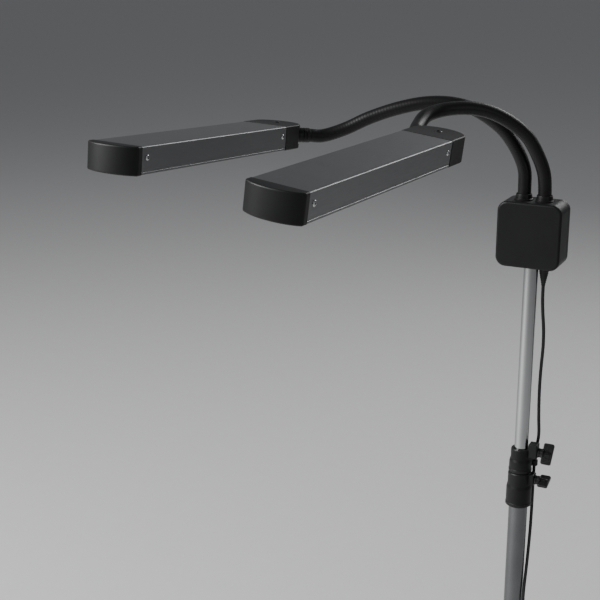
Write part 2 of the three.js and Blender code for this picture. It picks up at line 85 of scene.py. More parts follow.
lens = bpy.data.cameras.new("camera")
camera = bpy.data.objects.new("camera", lens)
bpy.context.scene.collection.objects.link(camera)
camera.location = EYE
camera.rotation_euler = (math.radians(90 - LOOKS_DOWN), 0, math.radians(LOOKS_LEFT))
lens.sensor_width = SENSOR
lens.lens = LENS
lens.clip_end = 200
bpy.context.scene.camera = camera


# ---- materials ----------------------------------------------------------------------------
GRAIN_DEPTH = 0.00005  # metres
SLOW = 22.0  # scale of the slow change in colour


def finish(name, color, rough, metal=0.0, grain=(1, 1, 1), fine=900.0, bump=0.15, mottle=0.08,
           spread=0.06, wear=0.0, level=0.5, sheen=0.0):
    """a Principled surface: fine grain in its bump and roughness, slow colour change, and edges
    that rubbing has made lighter"""
    material = bpy.data.materials.new(name)
    material.use_nodes = True
    nodes, links = material.node_tree.nodes, material.node_tree.links
    shader = nodes["Principled BSDF"]
    shader.inputs["Metallic"].default_value = metal
    shader.inputs["Specular IOR Level"].default_value = level
    shader.inputs["Sheen Weight"].default_value = sheen
    place = nodes.new("ShaderNodeTexCoord")
    stretch = nodes.new("ShaderNodeMapping")
    stretch.inputs["Scale"].default_value = grain
    links.new(place.outputs["Object"], stretch.inputs["Vector"])

    def noise(scale, source, detail=4.0):
        node = nodes.new("ShaderNodeTexNoise")
        node.inputs["Scale"].default_value = scale
        node.inputs["Detail"].default_value = detail
        links.new(source, node.inputs["Vector"])
        return node.outputs["Fac"]

    def ramp(value, low, high, source_low=0.3, source_high=0.7):
        node = nodes.new("ShaderNodeMapRange")
        node.inputs["From Min"].default_value = source_low
        node.inputs["From Max"].default_value = source_high
        node.inputs["To Min"].default_value = low
        node.inputs["To Max"].default_value = high
        links.new(value, node.inputs["Value"])
        return node.outputs["Result"]

    fine_noise = noise(fine, stretch.outputs["Vector"])
    slow_noise = noise(SLOW, place.outputs["Object"], 6.0)
    mix = nodes.new("ShaderNodeMix")
    mix.data_type = "RGBA"
    mix.inputs["A"].default_value = (*[c * (1 - mottle) for c in color], 1)
    mix.inputs["B"].default_value = (*[min(1, c * (1 + mottle)) for c in color], 1)
    links.new(ramp(slow_noise, 0, 1), mix.inputs["Factor"])
    base = mix.outputs["Result"]
    if wear:
        edge = nodes.new("ShaderNodeNewGeometry")
        rubbed = nodes.new("ShaderNodeMix")
        rubbed.data_type = "RGBA"
        rubbed.inputs["B"].default_value = (*[min(1, c + wear) for c in color], 1)
        links.new(base, rubbed.inputs["A"])
        links.new(ramp(edge.outputs["Pointiness"], 0, 0.7, 0.51, 0.58), rubbed.inputs["Factor"])
        base = rubbed.outputs["Result"]
    links.new(base, shader.inputs["Base Color"])
    links.new(ramp(fine_noise, rough - spread, rough + spread), shader.inputs["Roughness"])
    relief = nodes.new("ShaderNodeBump")
    relief.inputs["Strength"].default_value = bump
    relief.inputs["Distance"].default_value = GRAIN_DEPTH
    links.new(fine_noise, relief.inputs["Height"])
    links.new(relief.outputs["Normal"], shader.inputs["Normal"])
    return material


ANODISED = finish("anodised_aluminium", (0.19, 0.193, 0.197), 0.42, metal=1.0, grain=(1, 0.02, 1),
                  fine=2600, bump=0.5, mottle=0.06, spread=0.08, wear=0.02)
SILVER = finish("silver_anodised", (0.47, 0.475, 0.48), 0.38, metal=1.0, grain=(1, 1, 0.02),
                fine=2600, bump=0.4, mottle=0.05, spread=0.07, wear=0.06)
POLISHED = finish("polished_tube", (0.4, 0.405, 0.41), 0.13, metal=1.0, grain=(1, 1, 0.015),
                  fine=2400, bump=0.18, mottle=0.04, spread=0.04)
SATIN = finish("satin_tube", (0.15, 0.153, 0.157), 0.3, metal=1.0, grain=(1, 1, 0.02), fine=2400,
               bump=0.3)
PLASTIC = finish("black_plastic", (0.006, 0.0063, 0.0063), 0.44, bump=0.6, fine=1500, mottle=0.25,
                 wear=0.012, level=0.22)
GLOSS = finish("gloss_plastic", (0.006, 0.006, 0.0062), 0.24, bump=0.15, fine=700, mottle=0.2,
               wear=0.012, level=0.36)
SLEEVE = finish("neck_sleeve", (0.0055, 0.0055, 0.0057), 0.42, bump=0.35, fine=1300, mottle=0.25,
                level=0.24)
RUBBER = finish("rubber", (0.012, 0.012, 0.0125), 0.66, bump=0.6, fine=1100, mottle=0.25,
                level=0.36, sheen=0.05)
CABLE = finish("cable_jacket", (0.009, 0.009, 0.0095), 0.42, bump=0.2, fine=600, mottle=0.15,
               level=0.4)
OPAL = finish("opal_diffuser", (0.86, 0.87, 0.86), 0.38, bump=0.1, fine=1800, mottle=0.015)
opal_shader = OPAL.node_tree.nodes["Principled BSDF"]
opal_shader.inputs["Subsurface Weight"].default_value = 0.3
opal_shader.inputs["Subsurface Radius"].default_value = (0.004, 0.004, 0.004)
BOARD = finish("led_board", (0.78, 0.79, 0.77), 0.5, bump=0.3, fine=500, mottle=0.04)
STEEL = finish("steel_screw", (0.5, 0.505, 0.51), 0.22, metal=1.0, fine=1500, mottle=0.04)
BRASS = finish("pin_brass", (0.72, 0.6, 0.33), 0.24, metal=1.0, fine=1500, mottle=0.06)
CASE = finish("driver_case", (0.05, 0.052, 0.055), 0.5, bump=0.5, fine=1200)


# ---- mesh code ----------------------------------------------------------------------------
def link_mesh(name, mesh, matrix):
    obj = bpy.data.objects.new(name, mesh)
    bpy.context.scene.collection.objects.link(obj)
    obj.matrix_world = matrix
    return obj


def raw(verts, faces, name="part", matrix=UPRIGHT):
    """an object from points in millimetres, faces turned outwards"""
    mesh = bpy.data.meshes.new(name)
    mesh.from_pydata([Vector(v) * MM for v in verts], [], faces)
    shape = bmesh.new()
    shape.from_mesh(mesh)
    bmesh.ops.remove_doubles(shape, verts=shape.verts, dist=1e-7)
    bmesh.ops.recalc_face_normals(shape, faces=shape.faces)
    shape.to_mesh(mesh)
    shape.free()
    return link_mesh(name, mesh, matrix)


def loft(rings, closed=False):
    """skins closed rings of points; the two ends get caps unless the rings close on themselves"""
    n = len(rings[0])
    verts = [p for ring in rings for p in ring]
    faces = []
    last = len(rings) if closed else len(rings) - 1
    for i in range(last):
        a, b = i * n, ((i + 1) % len(rings)) * n
        for k in range(n):
            m = (k + 1) % n
            faces.append((a + k, a + m, b + m, b + k))
    if not closed:
        faces.append(tuple(range(n))[::-1])
        faces.append(tuple(range((len(rings) - 1) * n, len(rings) * n)))
    return verts, faces


def extrude(outline, low, high, axis="Z"):
    """an outline of (u, v) points, extruded along an axis"""
    where = {
        "Z": lambda u, v, w: (u, v, w),
        "Y": lambda u, v, w: (u, w, v),
        "X": lambda u, v, w: (w, u, v),
    }[axis]
    return loft([[where(u, v, w) for u, v in outline] for w in (low, high)])


def lathe(profile, sides=64, axis="Z", middle=(0, 0)):
    """turns a closed profile of (radius, height) points about an axis"""
    verts, faces = [], []
    n = len(profile)
    for i in range(sides):
        a = 2 * math.pi * i / sides
        for r, h in profile:
            u, v = middle[0] + r * math.cos(a), middle[1] + r * math.sin(a)
            verts.append({"Z": (u, v, h), "X": (h, u, v), "Y": (u, h, v)}[axis])
    on_axis = [r < 1e-6 for r, _ in profile]
    for i in range(sides):
        j = (i + 1) % sides
        for k in range(n):
            m = (k + 1) % n
            if on_axis[k] and on_axis[m]:
                continue
            face = (i * n + k, j * n + k, j * n + m, i * n + m)
            if on_axis[k]:
                face = (i * n + k, j * n + m, i * n + m)
            elif on_axis[m]:
                face = (i * n + k, j * n + k, i * n + m)
            faces.append(face)
    return verts, faces


def rod(r, low, high, sides=48, axis="Z", middle=(0, 0)):
    """a plain cylinder"""
    return lathe([(0, low), (r, low), (r, high), (0, high)], sides, axis, middle)


def block(low, high):
    """a box from its lowest to its highest corner"""
    (x0, y0, z0), (x1, y1, z1) = low, high
    return extrude([(x0, y0), (x1, y0), (x1, y1), (x0, y1)], z0, z1)


def arc(cx, cy, r, start, stop, steps, ry=None):
    """points on a circle, or on an ellipse of half height ry, between two angles in degrees"""
    ry = r if ry is None else ry
    turn = [math.radians(start + (stop - start) * i / steps) for i in range(steps + 1)]
    return [(cx + r * math.cos(a), cy + ry * math.sin(a)) for a in turn]


def rounded(x0, x1, y0, y1, r, steps=8):
    """a rectangle with round corners"""
    return (arc(x1 - r, y0 + r, r, -90, 0, steps) + arc(x1 - r, y1 - r, r, 0, 90, steps)
            + arc(x0 + r, y1 - r, r, 90, 180, steps) + arc(x0 + r, y0 + r, r, 180, 270, steps))


def settle(obj):
    """turns the object's modifiers into its mesh"""
    graph = bpy.context.evaluated_depsgraph_get()
    mesh = bpy.data.meshes.new_from_object(obj.evaluated_get(graph))
    obj.modifiers.clear()
    obj.data = mesh


def combine(obj, operation, others):
    """joins others to an object or cuts them out of it, and removes them"""
    for other in others:
        modifier = obj.modifiers.new("shape", "BOOLEAN")
        modifier.operation = operation
        modifier.solver = "EXACT"
        modifier.object = other
    if others:
        settle(obj)
    for other in others:
        bpy.data.objects.remove(other)


def soften(obj, width, steps=3, angle=30):
    """rounds the edges sharper than an angle"""
    if width:
        bevel = obj.modifiers.new("edges", "BEVEL")
        bevel.width = width * MM
        bevel.segments = steps
        bevel.limit_method = "ANGLE"
        bevel.angle_limit = math.radians(angle)
        bevel.use_clamp_overlap = True
        settle(obj)


def solid(parts, cuts=(), matrix=UPRIGHT, bevel=0.0, steps=3):
    """one shape: parts joined, their edges rounded, then cuts taken out"""
    first, *more = [raw(*p, matrix=matrix) for p in parts]
    combine(first, "UNION", more)
    soften(first, bevel, steps)
    combine(first, "DIFFERENCE", [raw(*p, matrix=matrix) for p in cuts])
    return first


def dress(obj, name, material, body=None, nodes=(), sharp=32):
    """names a piece, shades it, gives it its material and sets what it rides on"""
    obj.name = name
    obj.data.name = name
    obj.data.shade_smooth()
    obj.data.set_sharp_from_angle(angle=math.radians(sharp))
    obj.data.materials.clear()
    obj.data.materials.append(material)
    weighted = obj.modifiers.new("normals", "WEIGHTED_NORMAL")
    weighted.keep_sharp = True
    weighted.weight = 100
    settle(obj)
    if body:
        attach(obj, body)
    if nodes:
        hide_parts(*nodes)
    return obj


def refined(node, material, bevel=0.5, matrix=UPRIGHT):
    """a CAD node's own shape with its flat faces made whole and its edges rounded"""
    source = NODES[node].data
    into = matrix.inverted()
    verts = [into @ v.co / MM for v in source.vertices]
    obj = raw(verts, [tuple(p.vertices) for p in source.polygons], matrix=matrix)
    shape = bmesh.new()
    shape.from_mesh(obj.data)
    bmesh.ops.remove_doubles(shape, verts=shape.verts, dist=2e-6)
    bmesh.ops.dissolve_limit(shape, angle_limit=math.radians(1), verts=shape.verts,
                             edges=shape.edges)
    shape.to_mesh(obj.data)
    shape.free()
    soften(obj, bevel, 2, 31)
    return dress(obj, f"{node}_piece", material, BODY_OF[node], [node])


# ---- curves -------------------------------------------------------------------------------
def smooth(points, step):
    """a centripetal Catmull-Rom curve through points, as points a step apart along it"""
    p = [Vector(q) for q in points]
    p = [2 * p[0] - p[1]] + p + [2 * p[-1] - p[-2]]
    dense, fine = [], 40
    for i in range(1, len(p) - 2):
        a, b, c, d = p[i - 1:i + 3]
        t0, t1, t2 = [max((v - u).length ** 0.5, 1e-4) for u, v in ((a, b), (b, c), (c, d))]
        m1 = ((b - a) / t0 - (c - a) / (t0 + t1) + (c - b) / t1) * t1
        m2 = ((c - b) / t1 - (d - b) / (t1 + t2) + (d - c) / t2) * t1
        for k in range(fine):
            t = k / fine
            dense.append(b + m1 * t + (3 * (c - b) - 2 * m1 - m2) * t ** 2
                         + (2 * (b - c) + m1 + m2) * t ** 3)
    dense.append(p[-2])
    return evenly(dense, step)


def evenly(dense, step):
    """the same line, as points about a step apart"""
    away = [0.0]
    for u, v in zip(dense, dense[1:]):
        away.append(away[-1] + (v - u).length)
    count = max(2, round(away[-1] / step))
    out, k = [], 0
    for i in range(count + 1):
        s = away[-1] * i / count
        while k < len(away) - 2 and away[k + 1] < s:
            k += 1
        span = away[k + 1] - away[k]
        out.append(dense[k].lerp(dense[k + 1], (s - away[k]) / span if span else 0))
    return out


def sweep(path, radius, sides):
    """a round tube along a path; radius is a number or a function of the distance along it"""
    size = radius if callable(radius) else lambda s: radius
    rings, s = [], 0.0
    up = None
    for i, p in enumerate(path):
        ahead = path[min(i + 1, len(path) - 1)] - path[max(i - 1, 0)]
        ahead.normalize()
        if up is None:
            up = ahead.orthogonal()
        up = (up - ahead * up.dot(ahead)).normalized()
        side = ahead.cross(up)
        if i:
            s += (p - path[i - 1]).length
        ring = []
        for k in range(sides):
            a = 2 * math.pi * k / sides
            ring.append(p + (up * math.cos(a) + side * math.sin(a)) * size(s))
        rings.append(ring)
    return loft(rings)


# ---- pole ---------------------------------------------------------------------------------
def pipe(outer, inner, low, high, rim=0.5):
    """a tube with its outer edges eased"""
    return lathe([(inner, low), (outer - rim, low), (outer, low + rim), (outer, high - rim),
                  (outer - rim * 0.3, high - rim * 0.3), (outer - rim, high), (inner, high)], 72)


for node, size, material, slot in (
    ("base_tube", (13, 11.65, 45, 708), SATIN, "satin_tube"),
    ("mid_tube", (11.25, 9.9, 150, 748), SATIN, "satin_tube"),
    ("top_tube", (9.5, 8.3, 460, 1072), POLISHED, "polished_tube"),
):
    dress(raw(*pipe(*size)), node + "_piece", material, BODY_OF[node], [node])


BASE_KNOB_Z, MID_KNOB_Z = 725, 766


def clamp(node, low, step, high, wide, slim, knob_z, lug, lug_top, below, above, shoulder):
    """a stepped barrel over the end of a tube of radius below, bored to radius above for the
    tube that slides in it, with a rim, and a split ear that the knob's screw draws together"""
    rim = low + 5
    barrel = lathe([
        (below, low), (wide - 0.4, low), (wide + 0.5, low + 0.9), (wide + 0.5, rim - 0.6),
        (wide, rim), (wide, step - 4),
        (wide - 0.4, step - 3), (slim + 0.6, step), (slim, step + 1.2), (slim, high - 2),
        (slim - 0.4, high - 0.8), (slim - 1.2, high), (above, high), (above, shoulder),
        (below, shoulder)], 72)
    ear = solid([block((above + 1.5, -7, knob_z - 8.5), (lug, 7, lug_top))], bevel=1.6, steps=4)
    body = raw(*barrel)
    combine(body, "UNION", [ear])
    combine(body, "DIFFERENCE", [
        raw(*block((above - 1.5, -1, knob_z - 12), (lug + 1, 1, max(high, lug_top) + 1))),
        raw(*rod(above, 0, high + 5, 72)),
    ])
    dress(body, node + "_piece", PLASTIC, BODY_OF[node], [node])


clamp("base_clamp", low=685, step=715, high=734, wide=17.6, slim=16.2, knob_z=BASE_KNOB_Z,
      lug=21.5, lug_top=733.5, below=13.3, above=11.65, shoulder=708.3)
clamp("mid_clamp", low=735, step=754, high=769.5, wide=15.4, slim=13.8, knob_z=MID_KNOB_Z,
      lug=24, lug_top=778.5, below=11.55, above=9.9, shoulder=748.3)


def knob(node, span, radius, azimuth, z, twist):
    """a wing knob: a grooved hub, a flat wing across it and the hub's rib along the wing"""
    hub, long, reach, thick = 6.5, 8, 20, 5
    matrix = (Matrix.Translation(at(0, 0, z)) @ Matrix.Rotation(math.radians(azimuth), 4, "Z")
              @ Matrix.Translation((radius * MM, 0, 0))
              @ Matrix.Rotation(math.radians(twist), 4, "X"))
    wing = rounded(5.5, reach, -span / 2, span / 2, 2.5, 6)
    shape = solid([extrude(wing, -thick / 2, thick / 2, "Y")], matrix=matrix, bevel=1.2, steps=4)
    ring = [(0, 0), (hub - 0.6, 0), (hub, 0.6), (hub, 2.2), (hub - 0.5, 2.7), (hub - 0.5, 3.3),
            (hub, 3.8), (hub, long - 1), (hub - 0.8, long), (4.2, long), (4.1, 15.5), (3.4, 17.2),
            (2, 18), (0, 18)]
    combine(shape, "UNION", [raw(*lathe(ring, 40, "X"), matrix=matrix)])
    dress(shape, node + "_piece", GLOSS, BODY_OF[node], [node])


knob("base_clamp_knob", span=23, radius=21.8, azimuth=0, z=BASE_KNOB_Z, twist=-74)
knob("mid_clamp_knob", span=30, radius=24.3, azimuth=0, z=MID_KNOB_Z, twist=-40)
knob("leg_collar_knob", span=30, radius=24.3, azimuth=294, z=276.97, twist=60)

# ---- legs ---------------------------------------------------------------------------------
refined("leg_hub", PLASTIC, 0.8)
refined("leg_collar", PLASTIC, 0.8)
for i in (1, 2, 3):
    fold = JOINTS[f"leg_{i}_fold"]
    across = Vector(fold["axis"])
    hinge = JOINTS[f"strut_{i}_fold"]
    strut_way = (Vector(fold["pos_m"]) - Vector(hinge["pos_m"])).normalized()
    strut_frame = axes(Vector(hinge["pos_m"]), across, strut_way)
    leg_way = Vector((-strut_way.x, -strut_way.y, strut_way.z))
    leg_frame = axes(Vector(fold["pos_m"]), across, leg_way)
    refined(f"leg_{i}", SILVER, 0.5, leg_frame)
    refined(f"strut_{i}", SATIN, 0.4, strut_frame)
    refined(f"foot_{i}", RUBBER, 0.8)

# ---- junction box -------------------------------------------------------------------------
BOX_X, UNDERSIDE, HIGH, WIDE, CORNER, WALL, EDGE = -0.6, 1030, 87, 85.5, 13, 2.5, 3.2
FRONT, BACK, SPLIT, SEAM = -23, 23, 13, 0.35
TOP = UNDERSIDE + HIGH
SWITCH_Z, HOLE_X, HOLE_Z, ROCKER_TILT = 1074, 7.5, 10.1, 6
COVER_SCREWS = 31  # from the middle of the cover, each way
NECK_PLACES = ((-14.8, 0), (12.8, 0))
RELIEF_PLACE = (16.4, 4)


def box_ring(y, inset):
    """the box's outline at depth y, drawn in by an inset"""
    return [(u, y, v) for u, v in rounded(
        BOX_X - WIDE / 2 + inset, BOX_X + WIDE / 2 - inset, UNDERSIDE + inset, TOP - inset,
        max(CORNER - inset, 2), 12)]


def edge_rings(y, way, r, steps=6):
    """the rings of a rounded edge that ends at depth y; way is the side it faces"""
    out = []
    for i in range(steps + 1):
        a = math.pi / 2 * i / steps
        out.append(box_ring(y - way * r * (1 - math.sin(a)), r * (1 - math.cos(a))))
    return out


def switch_hole(front, back):
    """the rocker's opening, from one depth to another"""
    return block((BOX_X - HOLE_X, front, SWITCH_Z - HOLE_Z),
                 (BOX_X + HOLE_X, back, SWITCH_Z + HOLE_Z))


shell = loft([box_ring(SPLIT, SEAM), box_ring(SPLIT - SEAM, 0)] + edge_rings(FRONT, -1, EDGE))
shell_cuts = [
    loft([box_ring(SPLIT + 1, WALL), box_ring(FRONT + WALL, WALL)]),
    rod(10, UNDERSIDE - 2, UNDERSIDE + 6),
    rod(5.7, UNDERSIDE - 2, UNDERSIDE + 6, 32, "Z", RELIEF_PLACE),
] + [rod(11.2, TOP - 6, TOP + 2, 48, "Z", place) for place in NECK_PLACES]
dress(solid([shell], cuts=shell_cuts), "box_shell_piece", PLASTIC,
      "top_section", ["box_shell"])

cover_from = SPLIT + 0.3
cover = loft([box_ring(cover_from, SEAM), box_ring(cover_from + SEAM, 0)]
             + edge_rings(BACK, 1, EDGE))
cover_cuts = [
    loft([box_ring(SPLIT - 1, WALL), box_ring(BACK - WALL, WALL)]),
    switch_hole(BACK - 6, BACK + 1),
]
corners = [(BOX_X + sx * COVER_SCREWS, UNDERSIDE + HIGH / 2 + sz * COVER_SCREWS)
           for sx in (-1, 1) for sz in (-1, 1)]
for corner in corners:
    cover_cuts.append(rod(3.4, BACK - 1.6, BACK + 2, 32, "Y", corner))
dress(solid([cover], cuts=cover_cuts), "box_cover_piece", PLASTIC,
      "top_section", ["box_cover"])

rim = 2.1  # the bezel's width round the opening
bezel = rounded(BOX_X - HOLE_X - rim, BOX_X + HOLE_X + rim,
                SWITCH_Z - HOLE_Z - rim, SWITCH_Z + HOLE_Z + rim, 2)
dress(solid([extrude(bezel, BACK + 0.05, BACK + 1.1, "Y")], bevel=0.5, steps=3,
            cuts=[switch_hole(BACK - 1, BACK + 3)]),
      "switch_bezel", GLOSS, "top_section")
rocker = Matrix.Translation(Vector(JOINTS["rocker_press"]["pos_m"]))
rocker = rocker @ Matrix.Rotation(math.radians(ROCKER_TILT), 4, "X")
refined("rocker_switch", GLOSS, 0.5, rocker)


def socket_screw(r, shank, long, high, sides=32):
    """a button head with a hexagon socket, along -Y from its seat, head towards +Y"""
    socket = 0.42 * r
    hexagon = []
    for i in range(sides):
        a = 2 * math.pi * i / sides
        near = math.radians((math.degrees(a) + 30) % 60 - 30)
        hexagon.append(socket / math.cos(near))
    rings = []
    for size, y in ((shank, -long), (shank, 0), (r, 0), (r, high * 0.3), (r * 0.93, high * 0.62),
                    (r * 0.76, high * 0.88), (r * 0.6, high)):
        rings.append([(size * math.cos(2 * math.pi * i / sides), y,
                       size * math.sin(2 * math.pi * i / sides)) for i in range(sides)])
    for y in (high, high * 0.2):
        rings.append([(h * math.cos(2 * math.pi * i / sides), y,
                       h * math.sin(2 * math.pi * i / sides)) for i, h in enumerate(hexagon)])
    return loft(rings)


for k, (u, v) in enumerate(corners):
    seat = Matrix.Translation(at(u, BACK - 1.5, v))
    dress(raw(*socket_screw(2.9, 1.4, 6, 1.3), matrix=seat), f"cover_screw_{k + 1}", STEEL,
          "top_section")

for node, material, slot in (("tube_socket", PLASTIC, "black_plastic"),
                             ("led_driver", CASE, "driver_case")):
    refined(node, material, 0.5)

# strain relief: six ribs that widen upwards, and its collar under the box
relief = [(0, 1002), (2.45, 1002)]
for i in range(6):
    low = 1003 + 3.1 * i
    r = 2.75 + 0.6 * i
    relief += [(r - 0.45, low), (r, low + 0.4), (r + 0.15, low + 1.8), (r - 0.35, low + 2.2)]
relief += [(6.1, 1021.6), (6.4, 1023), (6.4, 1028.5), (5.9, 1029.7), (5.3, 1029.7), (5.3, 1032.4),
           (0, 1032.4)]
relief_piece = dress(raw(*lathe(relief, 32, "Z", RELIEF_PLACE)), "strain_relief_piece", RUBBER,
                     "top_section", ["strain_relief"])


# ---- lamp heads ---------------------------------------------------------------------------
HALF, THICK, LONG = 31.25, 30, 330
SKIN, BED_FROM = 1.6, 1.8  # the housing's wall, and how high the diffuser lies in it
PROUD, CAP_EDGE, SPIGOT = 0.5, 1.9, 24  # how far caps stand proud, are rounded and reach in
TURN_AT = LONG + 32
DRUM_ROOM, SLOT = 23.7, 10.3  # the rear cap's hollow for the drum: radius and half height
FAR = 40  # past the head, for the blocks that cut a cap off square


def head_frame(side):
    """a head's own frame: its front end at y = 0, its top face at z = 0"""
    swivel, tilt_joint = JOINTS[f"{side}_head_swivel"], JOINTS[f"{side}_neck_tilt"]
    centre = axes(Vector(swivel["pos_m"]), tilt_joint["axis"], swivel["axis"])
    return centre @ Matrix.Translation((0, -TURN_AT * MM, THICK / 2 * MM))


def housing_outline():
    """the channel's section: outer skin with a shadow line low on each side, lips, inner skin"""
    inner, r = HALF - SKIN, 1.4
    right = [(0, 0)] + arc(HALF - r, -r, r, 90, 0, 6)
    right += [(HALF, -26.3), (HALF - 0.45, -26.7), (HALF - 0.45, -27.1), (HALF, -27.5)]
    right += arc(HALF - 0.8, -THICK + 0.8, 0.8, 0, -90, 4)
    right += [(inner - 1.25, -THICK), (inner - 1.65, -THICK + 0.4), (inner - 1.65, -THICK + 1.5),
              (inner, -THICK + 1.5), (inner, -SKIN), (0, -SKIN)]
    left = [(-u, v) for u, v in right[-2:0:-1]]
    return right + left


def nose_outline(w):
    """the front cap seen from above, its nose drawn by one quadratic curve on each side"""
    left = []
    for i in range(17):
        t = i / 16
        left.append((-w * (1 - t) ** 2 - w * 0.62 * 2 * t * (1 - t),
                     -8 - 10 * (1 - (1 - t) ** 2)))
    return [(w, 6), (-w, 6)] + left + [(-u, v) for u, v in left[-2::-1]]


def tail_outline(w):
    """the rear cap seen from above, with a half-ellipse for its end"""
    return [(-w, LONG - 6), (w, LONG - 6)] + arc(0, TURN_AT, w, 0, 180, 40, 26)


def make_head(side):
    here = head_frame(side)
    body = f"{side}_head"
    inner = HALF - SKIN
    w = HALF + PROUD
    housing = raw(*extrude(housing_outline(), 0, LONG, "Y"), matrix=here)
    dress(housing, f"{side}_housing_piece", ANODISED, body,
          [f"{side}_housing"])
    bed = -THICK + BED_FROM
    diffuser = solid([block((0.3 - inner, 0.5, bed), (inner - 0.3, LONG - 0.5, bed + 2.4))],
                     matrix=here, bevel=0.4, steps=2)
    dress(diffuser, f"{side}_diffuser_piece", OPAL, body, [f"{side}_diffuser"])

    spigot_low, spigot_high = bed + 2.7, -1.9
    front = solid([extrude(nose_outline(w), -THICK - PROUD, PROUD)], matrix=here, bevel=CAP_EDGE,
                  steps=5, cuts=[block((-FAR, -0.3, -FAR), (FAR, FAR, 10))])
    combine(front, "UNION", [raw(*block((0.3 - inner, -2, spigot_low),
                                        (inner - 0.3, SPIGOT, spigot_high)), matrix=here)])
    dress(front, f"{side}_front_cap_piece", PLASTIC, body,
          [f"{side}_front_cap"])

    # the rear cap is open at the back, and on the side where the knuckle's stub leaves it
    low, high = -THICK / 2 - SLOT, -THICK / 2 + SLOT
    rear = solid(
        [extrude(tail_outline(w), -THICK - PROUD, PROUD)], matrix=here, bevel=CAP_EDGE, steps=5,
        cuts=[block((-FAR, LONG - FAR, -FAR), (FAR, LONG + 0.3, 10)),
              block((-w - 1 if side == "right" else -16, TURN_AT + 3.5, low),
                    (16 if side == "right" else w + 1, TURN_AT + 60, high)),
              rod(DRUM_ROOM, low, high, 72, "Z", (0, TURN_AT))])
    combine(rear, "UNION", [raw(*block((0.3 - inner, LONG - SPIGOT, spigot_low),
                                       (inner - 0.3, LONG + 2, spigot_high)), matrix=here)])
    dress(rear, f"{side}_rear_cap_piece", PLASTIC, body, [f"{side}_rear_cap"])
    for way, z in ((1, PROUD), (-1, -THICK - PROUD)):
        seat = here @ Matrix.Translation((0, TURN_AT * MM, z * MM)) @ Matrix.Rotation(
            way * math.pi / 2, 4, "X")
        name = "top" if way > 0 else "under"
        dress(raw(*socket_screw(4.6, 2, 4, 0.9, 40), matrix=seat), f"{side}_pivot_{name}", GLOSS,
              body)

    screws = [(way, along) for along in (10, LONG - 10) for way in (1, -1)]
    for k, (way, along) in enumerate(screws):
        seat = here @ Matrix.Translation((way * (HALF + 0.05) * MM, along * MM, -12 * MM))
        seat = seat @ Matrix.Rotation(-way * math.pi / 2, 4, "Z")
        dress(raw(*socket_screw(3.2, 1.6, 8, 1.4), matrix=seat), f"{side}_screw_{k + 1}_piece",
              STEEL, body, [f"{side}_screw_{k + 1}"])
    return here


# ---- necks --------------------------------------------------------------------------------
# points: the neck's line from its gland. joints: where it bends, as shares of its length.
# stub: the way that the knuckle's stub leaves the drum, in degrees from the head's own line
NECKS = {
    "left": {
        "points": [
            (-14.8, 0, 1111), (-14.6, 0, 1134), (-16, -0.5, 1156), (-25, -3, 1179),
            (-43, -7.5, 1205), (-62, -12.7, 1221), (-84, -20, 1233.6), (-110, -28.5, 1239.5),
            (-140, -36.5, 1239), (-174, -44.5, 1231.5), (-212, -54, 1217.5),
            (-244, -64.5, 1201.5)],
        "joints": (0.16, 0.47, 0.87), "stub": 45,
    },
    "right": {
        "points": [
            (12.8, 0, 1111), (12.6, -1, 1134), (11, -4, 1154), (4.5, -10, 1175.5),
            (-8, -21.6, 1202), (-27.5, -39.5, 1223), (-47.5, -57.5, 1236), (-66, -74, 1241.6),
            (-84, -90.5, 1242.3), (-98, -107, 1240.2), (-106.5, -127.5, 1236),
            (-106, -151, 1228.5)],
        "joints": (0.18, 0.56, 0.82), "stub": -45,
    },
}
NECK_R = 8.75
RIDGE, PITCH = 0.05, 4.0  # the sleeve's fine ribs
DRUM_R, DRUM_HIGH, STUB_R, STUB_REACH = 23.2, 19.8, 9.6, 46


